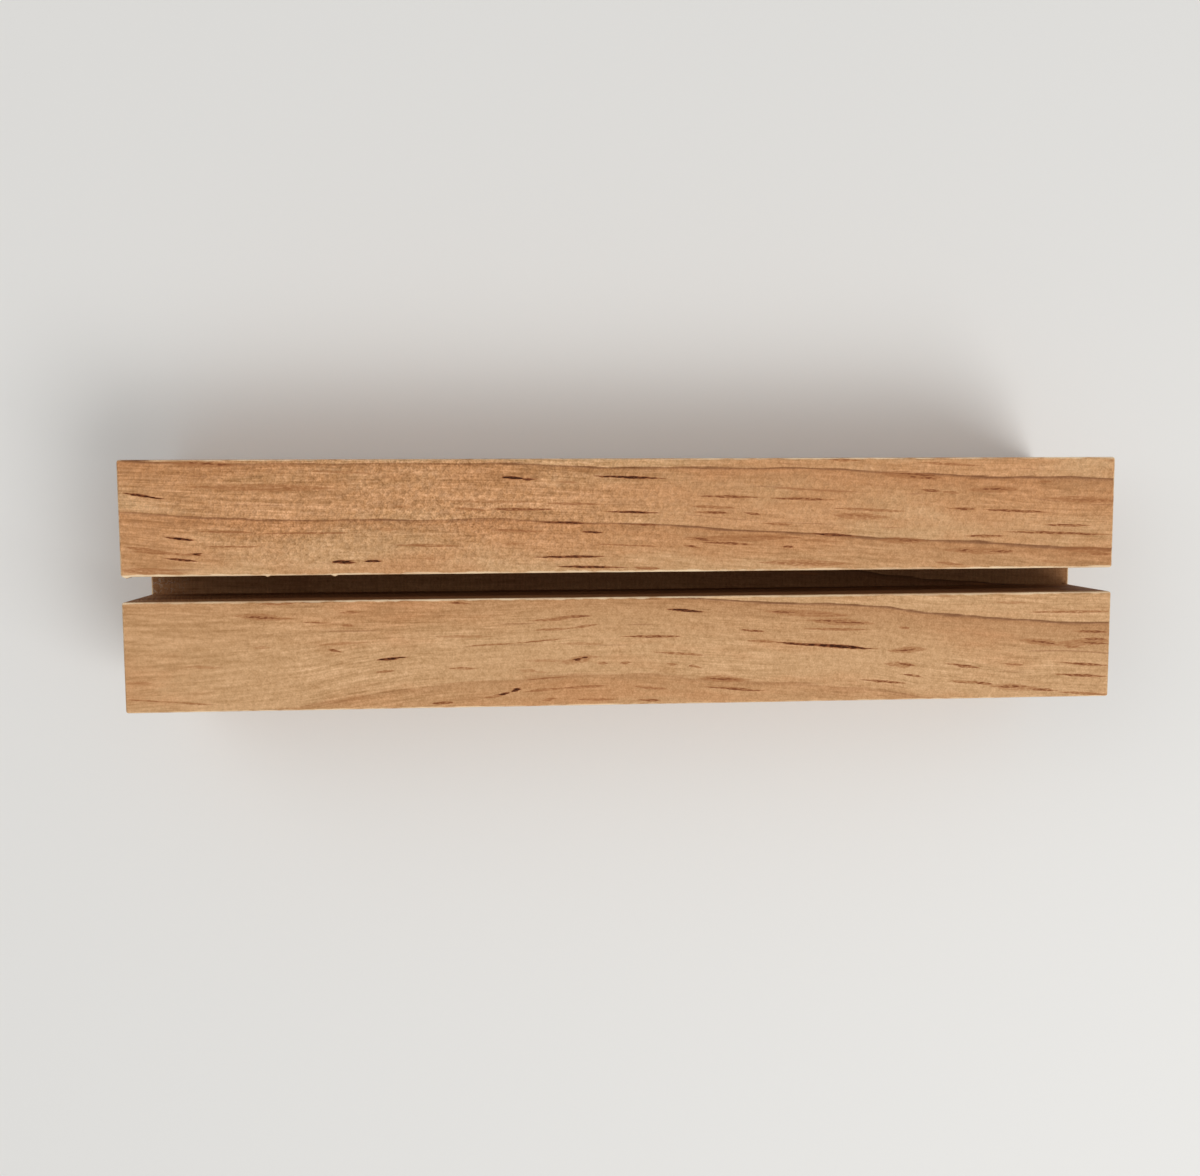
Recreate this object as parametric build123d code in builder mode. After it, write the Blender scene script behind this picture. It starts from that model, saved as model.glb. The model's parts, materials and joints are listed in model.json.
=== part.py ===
"""A wooden photo block holder: a slotted pine block on four stick-on felt pads.

Millimetres. X runs along the block, Y from its front to its rear, and Z up.
The origin is the middle of the footprint, on the surface that the pads stand on.
"""

import os

from build123d import *

# Driving dimensions of the block
block_length = 169.0
block_width = 42.0
block_height = 30.0
arris_radius = 0.4

# The saw-cut slot that a print stands in, open at both ends of the block
slot_width = 4.2
slot_depth = 16.0
slot_centre_y = -0.33

# The stick-on felt pads under the corners
pad_diameter = 10.0
pad_thickness = 1.5
pad_edge_round = 0.3
pad_inset_from_end = 13.0
pad_inset_from_side = 10.0

# Heights and places that follow from them
top_z = pad_thickness + block_height
block_centre_z = pad_thickness + block_height / 2
slot_centre_z = top_z - slot_depth / 2
pad_x = block_length / 2 - pad_inset_from_end
pad_y = block_width / 2 - pad_inset_from_side

pad_places = {
    "felt_pad_front_left": (-pad_x, -pad_y),
    "felt_pad_front_right": (pad_x, -pad_y),
    "felt_pad_rear_left": (-pad_x, pad_y),
    "felt_pad_rear_right": (pad_x, pad_y),
}

os.makedirs("parts", exist_ok=True)

# The block: its section is drawn on the left end, with the slot cut out, and runs the full length
with BuildPart() as slotted_block:
    with BuildSketch(Plane.YZ.offset(-block_length / 2)) as section:
        with Locations((0, block_centre_z)):
            Rectangle(block_width, block_height)
        with Locations((slot_centre_y, slot_centre_z)):
            Rectangle(slot_width, slot_depth, mode=Mode.SUBTRACT)
    extrude(amount=block_length)

    # Sanding eases every arris, the slot's rims among them, and leaves the slot's two inner corners square
    slot_corners = slotted_block.edges().filter_by(Axis.X).group_by(Axis.Z)[1]
    fillet(slotted_block.edges() - slot_corners, radius=arris_radius)

slotted_block.part.label = "slotted_block"
export_step(slotted_block.part, "parts/slotted_block.step")

# The pads: discs with a softened edge at the sole, stuck flat to the underside
for pad_name, (x, y) in pad_places.items():
    with BuildPart() as felt_pad:
        with BuildSketch(Plane((x, y, 0))) as pad_outline:
            Circle(pad_diameter / 2)
        extrude(amount=pad_thickness)
        fillet(felt_pad.faces().sort_by(Axis.Z)[0].edges(), radius=pad_edge_round)

    felt_pad.part.label = pad_name
    export_step(felt_pad.part, f"parts/{pad_name}.step")
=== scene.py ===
"""Dresses the slotted photo block in pine and felt, and stands it under soft studio light.

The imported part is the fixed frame: metres, X along the block, Y from its front to its rear, Z up.
The grain is laid out in millimetres of that same frame, the scale at which wood is read by eye.
"""

import json
import logging
import math
from dataclasses import dataclass
from enum import Enum
from functools import partial, reduce
from typing import Union

import bmesh
import bpy
from mathutils import Color, Matrix, Vector, noise


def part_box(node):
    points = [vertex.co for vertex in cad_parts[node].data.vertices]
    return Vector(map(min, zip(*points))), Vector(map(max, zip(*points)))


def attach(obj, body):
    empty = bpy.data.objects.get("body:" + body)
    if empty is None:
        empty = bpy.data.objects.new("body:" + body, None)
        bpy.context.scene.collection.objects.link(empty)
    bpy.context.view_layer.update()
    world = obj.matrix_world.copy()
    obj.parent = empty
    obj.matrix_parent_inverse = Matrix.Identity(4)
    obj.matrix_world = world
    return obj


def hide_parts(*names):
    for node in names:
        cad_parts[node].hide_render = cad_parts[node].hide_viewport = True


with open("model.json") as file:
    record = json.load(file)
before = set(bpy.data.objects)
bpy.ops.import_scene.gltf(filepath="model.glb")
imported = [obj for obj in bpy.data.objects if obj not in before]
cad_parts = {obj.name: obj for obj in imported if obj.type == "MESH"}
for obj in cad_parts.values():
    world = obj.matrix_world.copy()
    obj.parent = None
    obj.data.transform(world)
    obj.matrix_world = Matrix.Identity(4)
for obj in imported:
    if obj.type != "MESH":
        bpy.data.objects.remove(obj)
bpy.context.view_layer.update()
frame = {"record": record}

LOG = logging.getLogger("photo_block")
MM = 0.001
TOUCH = 1e-7
BODY = "root"
FULL_LEVEL = 255
OPENING_ROOM = 0.02 * MM
FLECK_TAIL = 1.3
NOISE_MIDDLE = 0.5

# Sockets of the Mix node that share their names with others, by number
MIX_COLOURS = (6, 7)
MIX_COLOUR = 2

Colour = tuple[float, float, float, float]
Pair = tuple[float, float]
Triple = tuple[float, float, float]
Streak = tuple[float, float, float, float]
Points = tuple[Pair, ...]
Socket = bpy.types.NodeSocket
Feed = Union[bpy.types.NodeSocket, float, tuple]

# A ramp: where it starts and ends, and what it gives there, which is 0 and 1 where it doesn't say
Ramp = tuple[float, ...]

# A noise: its waves to a millimetre along the grain and across it, its finer layers and their strength
Waves = tuple[float, ...]

# A fit: what a value is multiplied by, and what is then added to it
Fit = tuple[float, float]


def shade(red: float, green: float, blue: float) -> Colour:
    """Turns a colour as a screen shows it, 0 to 255, into the linear one that a shader takes."""
    screen = Color((red / FULL_LEVEL, green / FULL_LEVEL, blue / FULL_LEVEL))
    return (*screen.from_srgb_to_scene_linear(), 1.0)


class ShaderGraph:
    """A node tree that is filled by short calls, most of which return the new output socket."""

    def __init__(self, tree: bpy.types.NodeTree) -> None:
        """Keeps the tree that the nodes go into."""
        self.tree = tree

    def add(self, kind: str, feeds: dict[Union[int, str], Feed], **settings: object) -> bpy.types.Node:
        """Adds one node.

        Args:
            kind: The node's type, as Blender names it.
            feeds: A value or a socket for each input, by its name or number.
            settings: Properties of the node itself.

        Returns:
            The new node.
        """
        node = self.tree.nodes.new(kind)
        for name, setting in settings.items():
            setattr(node, name, setting)
        for name, feed in feeds.items():
            if isinstance(feed, bpy.types.NodeSocket):
                self.send(feed, node.inputs[name])
            else:
                node.inputs[name].default_value = feed
        return node

    def send(self, socket: Socket, target: Socket) -> None:
        """Links an output to an input."""
        self.tree.links.new(socket, target)

    def math(self, operation: str, *values: Feed) -> Socket:
        """Works a number out of one, two or three others."""
        return self.add("ShaderNodeMath", dict(enumerate(values)), operation=operation).outputs[0]

    def plus(self, first: Feed, second: Feed) -> Socket:
        """Adds two numbers."""
        return self.math("ADD", first, second)

    def minus(self, first: Feed, second: Feed) -> Socket:
        """Takes one number from another."""
        return self.math("SUBTRACT", first, second)

    def times(self, first: Feed, second: Feed) -> Socket:
        """Multiplies two numbers."""
        return self.math("MULTIPLY", first, second)

    def fitted(self, value: Feed, factor: Feed, offset: Feed) -> Socket:
        """Multiplies a number and adds another to it."""
        return self.math("MULTIPLY_ADD", value, factor, offset)

    def swing(self, value: Feed, width: float) -> Socket:
        """Turns a number of 0 to 1 into one that goes as far below 0 as above it."""
        return self.fitted(value, width, -width / 2)

    def apart(self, first: Feed, second: Feed) -> Socket:
        """Gives how far two numbers lie apart."""
        return self.math("ABSOLUTE", self.minus(first, second))

    def least(self, *values: Feed) -> Socket:
        """Gives the lowest of some numbers."""
        return reduce(partial(self.math, "MINIMUM"), values)

    def most(self, *values: Feed) -> Socket:
        """Gives the highest of some numbers."""
        return reduce(partial(self.math, "MAXIMUM"), values)

    def vector(self, operation: str, *values: Feed) -> Socket:
        """Works a vector out of one or two others."""
        return self.add("ShaderNodeVectorMath", dict(enumerate(values)), operation=operation).outputs[0]

    def length(self, vector: Feed) -> Socket:
        """Measures a vector."""
        return self.add("ShaderNodeVectorMath", {0: vector}, operation="LENGTH").outputs["Value"]

    def scaled(self, colour: Feed, factor: Feed) -> Socket:
        """Makes a colour or a vector larger or smaller by one number."""
        feeds = {"Vector": colour, "Scale": factor}
        return self.add("ShaderNodeVectorMath", feeds, operation="SCALE").outputs[0]

    def joined(self, x: Feed, y: Feed, z: Feed) -> Socket:
        """Joins three numbers into a vector."""
        return self.add("ShaderNodeCombineXYZ", {"X": x, "Y": y, "Z": z}).outputs[0]

    def parts(self, vector: Feed) -> tuple[Socket, Socket, Socket]:
        """Takes a vector apart into its three numbers."""
        outputs = self.add("ShaderNodeSeparateXYZ", {"Vector": vector}).outputs
        return outputs["X"], outputs["Y"], outputs["Z"]

    def ramp(self, value: Feed, low: float, high: float, start: float = 0.0, end: float = 1.0) -> Socket:
        """Eases a number from one span into another.

        Args:
            value: The number.
            low: Where the ramp starts.
            high: Where it ends.
            start: What it gives at its start and before.
            end: What it gives at its end and after.

        Returns:
            The eased number.
        """
        feeds = {"Value": value, "From Min": low, "From Max": high, "To Min": start, "To Max": end}
        return self.add("ShaderNodeMapRange", feeds, interpolation_type="SMOOTHSTEP").outputs[0]

    def blend(self, factor: Feed, first: Feed, second: Feed) -> Socket:
        """Goes from one colour to another by a factor of 0 to 1."""
        feeds = {"Factor": factor, **dict(zip(MIX_COLOURS, (first, second)))}
        return self.add("ShaderNodeMix", feeds, data_type="RGBA").outputs[MIX_COLOUR]

    def mix(self, factor: Feed, first: Feed, second: Feed) -> Socket:
        """Goes from one number to another by a factor, and past it where the factor is over 1."""
        feeds = {"Factor": factor, "A": first, "B": second}
        return self.add("ShaderNodeMix", feeds, data_type="FLOAT", clamp_factor=False).outputs[0]

    def noise(
        self, vector: Feed, along: float, across: float, detail: float = 2.0, rough: float = 0.5
    ) -> bpy.types.Node:
        """Adds a noise.

        Args:
            vector: The place, in millimetres.
            along: How many waves a millimetre holds along the grain.
            across: How many it holds across the grain.
            detail: How many finer layers the noise has.
            rough: How strong each finer layer is beside the one before it.

        Returns:
            The noise node, for its Fac or its Color.
        """
        place = self.vector("MULTIPLY", vector, (along, across, across))
        feeds = {"Vector": place, "Scale": 1.0, "Detail": detail, "Roughness": rough}
        return self.add("ShaderNodeTexNoise", feeds)

    def grey(self, vector: Feed, *waves: float) -> Socket:
        """Adds a noise and gives its value of 0 to 1."""
        return self.noise(vector, *waves).outputs["Fac"]

    def stray(self, vector: Feed, waves: Waves, reach: Triple) -> Socket:
        """Gives a noise's way off a place, by half a reach at most."""
        off = self.vector("SUBTRACT", self.noise(vector, *waves).outputs["Color"], (NOISE_MIDDLE,) * 3)
        return self.vector("MULTIPLY", off, reach)

    def curve(self, value: Feed, points: Points) -> Socket:
        """Bends a number along a curve.

        Args:
            value: The number, 0 to 1.
            points: Places on the curve, of the same span.

        Returns:
            The curve's height there.
        """
        node = self.add("ShaderNodeFloatCurve", {"Value": value})
        line = node.mapping.curves[0]
        line.points[0].location = points[0]
        line.points[-1].location = points[-1]
        for place, height in points[1:-1]:
            line.points.new(place, height)
        node.mapping.update()
        return node.outputs[0]


def new_group(
    name: str, inputs: dict[str, str], outputs: dict[str, str]
) -> tuple[ShaderGraph, dict[str, Socket], dict[str, Socket]]:
    """Starts a shader node group.

    Args:
        name: The group's name.
        inputs: The type of each input, Vector or Float, by its name.
        outputs: The type of each output by its name.

    Returns:
        The graph inside the group, the sockets that its inputs bring in and those that its outputs take.
    """
    tree = bpy.data.node_groups.new(name, "ShaderNodeTree")
    for sockets, side in ((inputs, "INPUT"), (outputs, "OUTPUT")):
        for socket, kind in sockets.items():
            tree.interface.new_socket(name=socket, in_out=side, socket_type=f"NodeSocket{kind}")
    entry = tree.nodes.new("NodeGroupInput")
    leave = tree.nodes.new("NodeGroupOutput")
    return ShaderGraph(tree), dict(entry.outputs.items()), dict(leave.inputs.items())


def new_material(name: str) -> tuple[bpy.types.Material, ShaderGraph, bpy.types.Node]:
    """Starts a material.

    Args:
        name: The material's name.

    Returns:
        The material, its graph and its shader.
    """
    material = bpy.data.materials.new(name)
    material.use_nodes = True
    return material, ShaderGraph(material.node_tree), material.node_tree.nodes["Principled BSDF"]


@dataclass(frozen=True)
class Site:
    """A place in the wood, in millimetres, as a graph reads it."""

    graph: ShaderGraph
    place: Socket
    x: Socket
    y: Socket
    z: Socket

    @classmethod
    def within(cls, graph: ShaderGraph, vector: Socket) -> "Site":
        """Takes Object coordinates, which are in metres."""
        place = graph.scaled(vector, 1 / MM)
        return cls(graph, place, *graph.parts(place))


class Cut(Enum):
    """How a face of the block was cut; the value names its material."""

    PLANED = "pine_planed"
    END_GRAIN = "pine_end_grain"
    SAWN = "pine_sawn"


class Depth(Enum):
    """How dark a resin fleck is at its heart, how many millimetres wide and how crisp at its edge."""

    SMEAR = (0.34, 1.5, 1.0)
    FAINT = (0.28, 0.6, 1.0)
    THIN = (0.42, 0.36, 1.0)
    SOFT = (0.4, 0.66, 1.0)
    CLEAR = (0.52, 0.68, 1.0)
    DARK = (0.8, 0.62, 1.3)
    BLACK = (1.0, 0.64, 1.5)
    BLOT = (1.0, 0.86, 1.6)


@dataclass(frozen=True)
class Fleck:
    """One resin fleck on the top face, in millimetres: a thin lens from one point to another."""

    depth: Depth
    start_x: float
    start_y: float
    end_x: float
    end_y: float

    def slope(self) -> float:
        """Gives the fleck's rise across the block for each millimetre along it."""
        return (self.end_y - self.start_y) / (self.end_x - self.start_x)

    def lens(self, graph: ShaderGraph, x: Socket, y: Socket) -> Socket:
        """Draws the fleck as a lens that grows from its heart to 1 at its rim.

        Args:
            graph: The graph that the nodes go into.
            x: The place along the block.
            y: The place across it.

        Returns:
            The way from the fleck's heart, which is never less than its darkness allows.
        """
        darkness, width, crisp = self.depth.value
        middle_x = (self.start_x + self.end_x) / 2
        middle_y = (self.start_y + self.end_y) / 2
        along_scale = math.sqrt(crisp) / (FLECK_TAIL * (self.end_x - self.start_x) / 2)
        across_scale = crisp / (width / 2)
        along = graph.fitted(x, along_scale, -middle_x * along_scale)
        offset = (self.slope() * middle_x - middle_y) * across_scale
        lean = graph.fitted(x, -self.slope() * across_scale, offset)
        across = graph.math("ABSOLUTE", graph.fitted(y, across_scale, lean))
        away = graph.fitted(along, along, across)
        return graph.most(graph.plus(away, 1 - crisp), 1 - darkness)


# Where each fleck starts and ends on the top face, in millimetres: on the rear rail, then on the front
FLECKS: dict[Depth, tuple[Streak, ...]] = {
    Depth.SMEAR: (
        (-84.5, 2.9, -74, 2.4), (-77, 20.7, -66, 20.1), (-72, 16.5, -50, 16.2), (10, 7.3, 28, 7.5),
        (23, 3.2, 37, 2.9), (35, 11.2, 44, 10.8), (43, 6.9, 51, 6.7), (43, 18.3, 53.5, 17.5),
        (55, 5.1, 67, 4.7), (59, 15.4, 67, 15.5), (73, 13.9, 84.5, 13.4), (75, 5.1, 84.5, 4.8),
        (-66, -4.9, -57.5, -5.4), (-12, -13.6, -6, -12.6), (12, -16.5, 20, -17),
        (23.5, -5.2, 37.5, -6.1), (31, -6.9, 41.5, -7.5), (44.5, -14.6, 49.5, -15),
        (45, -12.3, 51.5, -12.1), (63.5, -18.8, 71.5, -19.4), (68.5, -10.8, 76, -11.7),
        (74, -11.6, 84, -11.2),
    ),
    Depth.FAINT: (
        (-62.5, 16.3, -56, 16.2), (-53, 19.1, -43, 18.6), (-43, 9.4, -39.5, 9.3),
        (-40, 13.2, -36.8, 13), (-34.8, 4.4, -33, 4.3), (-30, 14, -16, 13.7), (-21.5, 6.8, -18.2, 6.7),
        (-12, 17.2, -9, 16.9), (25, 15.9, 30, 15.6), (30.5, 7.1, 36, 6.6), (31, 15.5, 38, 15.2),
        (72, 3, 75, 2.8),
        (-84.5, -15.8, -80, -16), (-74, -13.3, -69, -13.5), (-62.8, -10.2, -60.5, -10.2),
        (-52, -9.9, -45, -9.6), (-33, -8.8, -24, -8.9), (-19.5, -14.6, -15, -15.2),
        (-18, -13.1, -11, -13.2), (-12, -10.3, -5, -10.4), (50, -2.5, 56.5, -3.1), (64, -4.1, 69, -4.3),
    ),
    Depth.THIN: (
        (-71, 6.7, -62, 6.6), (-62, 8.8, -46, 8.8), (-6, 6.6, 5, 6.1),
        (-84.5, -18.6, -77, -19.2), (-77, -19.2, -70, -19.8), (-55, -6.1, -51, -6.25),
        (-28, -10.5, -20, -10.1), (-20, -10.1, -11, -9.4), (-17.8, -16.4, -11.6, -15.95),
    ),
    Depth.SOFT: (
        (-83.5, 6.7, -77.5, 6), (-82, 6, -72, 5.3), (-71, 9.2, -63, 9), (-58.2, 16.3, -56, 16.1),
        (-39.2, 6.7, -29.5, 6.5), (-29.5, 12.8, -24, 12.4), (-23.5, 9.1, -15.2, 8.8),
        (-14, 13.5, -5.5, 13.3), (0, 2.6, 5, 2.3), (10, 12.9, 17.5, 12.55), (17, 7.6, 29, 7.4),
        (22, 3.2, 34, 2.9), (23, 9.9, 27.5, 9.7), (34, 20.7, 39, 20.5), (35, 12.4, 47, 11.8),
        (36, 11.3, 43, 10.8), (50, 20.1, 60, 19.6), (53, 3, 57.5, 2.5), (54, 15.1, 57, 14.8),
        (71, 16.8, 73, 16.7), (75, 13.8, 84.5, 13.3), (76, 5.1, 84, 5.1), (80, 4.3, 84.5, 4.1),
        (-62, -3, -56, -2.8), (-55, -2.7, -52, -2.6), (-49, -4.5, -45.5, -4.4),
        (-48.5, -6.6, -46.7, -6.8), (-43, -14.6, -40, -14.5), (-42.5, -2.6, -33, -2.4),
        (-31, -14.2, -26.5, -14.3), (-24.8, -19.35, -21.8, -18.85), (-18, -18.4, -12, -17.9),
        (-17, -6.3, -10, -6), (-16, -7.9, -10.5, -7.7), (-15, -20, -13, -19.7), (-12, -17.9, -4, -17.6),
        (-10.3, -7.6, -6, -7.1), (-9, -19.9, -3, -20), (-6, -13.7, -4, -13.8), (-2, -13.8, 0, -13.7),
        (0.5, -17.8, 6, -18.4), (4, -12, 13, -12.6), (6, -14, 8, -14.2), (10, -14.3, 12, -14.8),
        (20, -10.2, 26, -10.55), (30, -8.3, 41, -8.6), (30, -5.6, 37, -6.1), (46.5, -8.2, 48.5, -8.5),
        (56, -17.8, 61, -18.2), (65.5, -14.9, 69, -15.2), (70.5, -5.9, 84.5, -5.95),
        (76, -20.1, 84, -20.7), (76, -11.9, 79, -12.2),
    ),
    Depth.CLEAR: (
        (-74, 20.6, -65.5, 20.05), (-23.5, 12.6, -13, 12.5), (0.4, 9.85, 4.7, 9.75), (9, 6.3, 12, 5.85),
        (10, 7.6, 14, 7), (11, 11.9, 17, 11.7), (12, 6.8, 21, 6.3), (12, 14.6, 22, 14.3),
        (19.5, 11.7, 22, 11.4), (24, 14.2, 35, 13.8), (25.8, 5.95, 28, 5.8), (46, 6.9, 50, 6.7),
        (46, 18.3, 53, 17.9), (48, 17.8, 53, 17.3), (50, 15.5, 53.5, 15.2), (55, 12.2, 60, 12.1),
        (56, 5.2, 60, 4.8), (58, 7.5, 65, 7.4), (60, 15.5, 66, 15.6), (61, 12, 73, 11.5),
        (62, 4.8, 67, 4.7), (65, 8.2, 84.5, 7.5), (72, 9.3, 80, 9.1),
        (-65, -5, -58.5, -5.4), (-51, -10.7, -49, -11.1), (-34, -20.2, -30.5, -20),
        (-31, -3, -27.7, -3.2), (-12.7, -5.7, -7, -5.6), (-1, -9.2, 8.5, -9.3), (1.5, -20.2, 5, -20.3),
        (13, -18.1, 23, -19), (13, -16.6, 19, -17), (19, -8.3, 23, -8.7), (24, -5.2, 28.5, -5.5),
        (31.5, -6.8, 41, -7.5), (40, -17.3, 48, -18.1), (46, -14.6, 49.5, -15),
        (46, -12.3, 50.5, -12.1), (47.5, -16.5, 51, -17), (55, -14.7, 61, -15.6),
        (60, -18.1, 63.5, -18.5), (64, -18.9, 70, -19), (69.5, -10.8, 75, -11.6),
        (70, -19.4, 75, -19.8), (75, -16.9, 84, -17.5), (76, -14.9, 84, -15.5), (78, -9.3, 84.3, -9.6),
        (79.5, -11.4, 84, -11.6), (79.5, -10.7, 84.3, -10.9),
    ),
    Depth.DARK: (
        (-77, 4.8, -72, 4.3), (-73.2, 5.6, -70.8, 5.25), (-18.4, 17.65, -15.9, 17.5),
        (-16, 4.5, -4.7, 4.5), (-15, 10.4, -7, 10.1), (-12.8, 2.85, -1, 2.6), (-8, 8.7, -4.8, 8.5),
        (-4, 12.1, 4.5, 11.8), (31, 8.1, 39, 7.6),
        (-10.4, -13.3, -6.8, -12.5), (25.5, -10.6, 33, -11.3),
    ),
    Depth.BLACK: (
        (-83.3, 15.6, -77.5, 14.6), (-77, 8.3, -72.3, 7.7), (-44.5, 4.05, -42, 4.1),
        (-6, 18.05, 5.2, 17.6),
        (-42.5, -12.6, -38.3, -12.2), (-22.5, -18.9, -21, -18.5), (-20.6, -18.4, -18.7, -17.8),
        (6.3, -4.6, 12.5, -5.15),
    ),
    Depth.BLOT: (
        (-49.8, 4.05, -46.4, 3.85), (-21.8, 17.95, -18.3, 17.7),
        (29.5, -10.9, 42, -11.95),
    ),
}


@dataclass(frozen=True)
class BlockShape:
    """The block's corners and its slot's walls, in metres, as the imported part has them."""

    low: Vector
    high: Vector
    slot_front: float
    slot_rear: float
    slot_floor: float

    @classmethod
    def from_frame(cls) -> "BlockShape":
        """Reads the block's node and the slot's opening, which keeps a little room to each wall.

        Returns:
            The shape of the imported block.
        """
        low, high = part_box("slotted_block")
        openings = frame["record"]["physics"]["openings"]
        slot = next(opening for opening in openings if opening["name"] == "photo_slot")
        (_, front, floor), (_, rear, _) = slot["box_m"]
        return cls(low, high, front - OPENING_ROOM, rear + OPENING_ROOM, floor - OPENING_ROOM)


@dataclass(frozen=True)
class PineFigure:
    """The tree's own pattern in the block, in millimetres: rings, fibres and resin.

    The rings are shells about a pith below the front of the block, and wander as the sway curves say.
    """

    half_length: float

    # Rings
    pith_y: float = -39.4
    pith_z: float = -43.5
    first_radius: float = 78.5
    ring_spacing: float = 5.57
    sway_low: float = -8.0
    sway_high: float = 4.0
    front_sway: Points = (
        (-84.5, -5.6), (-60.0, -4.2), (-45.0, -1.8), (-30.0, -0.3), (-19.0, 0.0), (-10.0, 0.8),
        (0.0, 0.8), (10.0, 0.2), (18.0, -0.5), (30.0, -1.4), (43.0, -2.5), (53.0, -4.3), (84.5, -6.6),
    )
    middle_sway: Points = (
        (-84.5, 0.6), (-62.0, 0.5), (-45.0, 0.3), (-20.0, 0.0), (0.0, -0.3), (14.0, -1.2),
        (28.0, -2.1), (43.0, -3.0), (50.0, -4.1), (63.0, -5.2), (76.0, -6.1), (84.5, -6.3),
    )
    rear_sway: Points = (
        (-84.5, 3.1), (-75.0, 2.3), (-60.0, 1.75), (-30.0, 1.35), (-20.0, 1.35), (-10.0, 0.8),
        (5.0, 0.2), (16.0, -0.55), (28.0, -1.1), (38.0, -1.7), (45.0, -2.35), (55.0, -2.85),
        (70.0, -3.5), (84.5, -4.05),
    )
    front_to_middle: Ramp = (-19.0, -2.0)
    middle_to_rear: Ramp = (-2.0, 8.0)
    rear_calm: Ramp = (10.0, 20.0, 1.0, 0.5)
    rear_lift: Ramp = (13.0, 19.0, 0.0, 0.5)
    drift: Waves = (0.03, 0.09, 1.0)
    drift_swing: float = 1.6
    ripple: Waves = (0.1, 0.45)
    feather: Waves = (0.14, 2.0)
    ring_swing: float = 0.07

    # What a year's phase, 0 to 1, makes of the wood, and where a year's last line is bold
    ring_close: Ramp = (0.98, 1.0, 1.0, 0.0)
    slow_wood: Ramp = (0.2, 1.0, 0.0, 0.8)
    late_wood: Ramp = (0.86, 0.985, 0.0, 0.2)
    season_front: Ramp = (-17.0, -9.0, 0.7, 1.0)
    line_rise: Ramp = (0.935, 0.985)
    line_patch: Waves = (0.08, 0.2, 3.0)
    patch_span: Ramp = (0.4, 0.62, 0.5, 1.0)
    line_front: Ramp = (-15.0, -8.0, 0.15, 1.0)
    line_right: Ramp = (-40.0, 40.0, 0.9, 1.6)

    # Fibres, pebbles and strokes, and where the wood is streaky or coarse; in the colour the pebbles and
    # strokes are painted sparkle, strongest where it is coarse
    streak_span: Ramp = (0.38, 0.6, 0.45, 1.0)
    streak_left: Ramp = (-76.0, -56.0, 1.0, 0.45)
    coarse_rear: Ramp = (-1.0, 12.0)
    coarse_right: Ramp = (-18.0, 14.0, 1.0, 0.0)
    coarse_left: Ramp = (-84.0, -60.0, 0.5, 1.0)
    coarse_fibre: float = 0.35
    curl_top: float = 1.5
    curl_gain: float = 1.1
    fine_share: float = 0.55
    long_fibre: Waves = (0.1, 1.7, 3.0)
    fine_fibre: Waves = (0.26, 3.6, 3.0)
    pebble_turn: Triple = (0.5, 0.4, 0.7)
    pebble_left: Ramp = (-78.0, -56.0, 0.65, 1.0)
    speck: Waves = (1.3, 1.3)
    grit: Waves = (3.6, 3.6)
    stroke: Waves = (2.2, 0.7, 1.0)
    stroke_lean: float = -0.3
    stroke_wander: float = 2.2
    stroke_span: Ramp = (0.3, 0.7, -1.0, 1.0)
    stroke_rear: Ramp = (-2.0, 14.0, 0.25, 0.8)

    # Slow changes of tone, resin canals and resin pockets
    cloud: Waves = (0.035, 0.13, 4.0, 0.62)
    cloud_rear: Ramp = (-8.0, 10.0, -0.05, 0.12)
    canal_bend: Waves = (0.028, 0.05, 1.0)
    canal_reach: Triple = (0.0, 3.2, 3.2)
    canal_spacing: float = 1.7
    canal_size: Fit = (0.09, 0.04)
    canal_core: Ramp = (0.0, 0.6)
    canal_chance: Ramp = (0.35, 0.9, 0.1, 1.0)
    pocket_cell: Triple = (12.0, 2.2, 2.2)
    pocket_half: Triple = (4.2, 0.34, 0.34)
    pocket_core: Ramp = (0.1, 1.0, 1.0, 0.0)
    pocket_chance: Ramp = (0.3, 1.0)

    def sway_points(self, sway: Points) -> Points:
        """Brings a sway curve into the span of 0 to 1 that a curve node takes.

        Args:
            sway: The curve's points, in millimetres.

        Returns:
            The same points in that span.
        """
        length = 2 * self.half_length
        rise = self.sway_high - self.sway_low
        return tuple(((x + self.half_length) / length, (y - self.sway_low) / rise) for x, y in sway)

    def sway(self, site: Site) -> Socket:
        """Gives how far the grain wanders across the block.

        Args:
            site: The place.

        Returns:
            The sideways shift of the grain there, in millimetres.
        """
        graph = site.graph
        along = graph.fitted(site.x, 0.5 / self.half_length, 0.5)
        sways = (self.front_sway, self.middle_sway, self.rear_sway)
        front, middle, rear = (graph.curve(along, self.sway_points(sway)) for sway in sways)
        shift = graph.mix(graph.ramp(site.y, *self.front_to_middle), front, middle)
        shift = graph.mix(graph.ramp(site.y, *self.middle_to_rear), shift, rear)
        in_mm = graph.fitted(shift, self.sway_high - self.sway_low, self.sway_low)
        calmed = graph.times(in_mm, graph.ramp(site.y, *self.rear_calm))
        return graph.plus(calmed, graph.ramp(site.y, *self.rear_lift))

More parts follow.
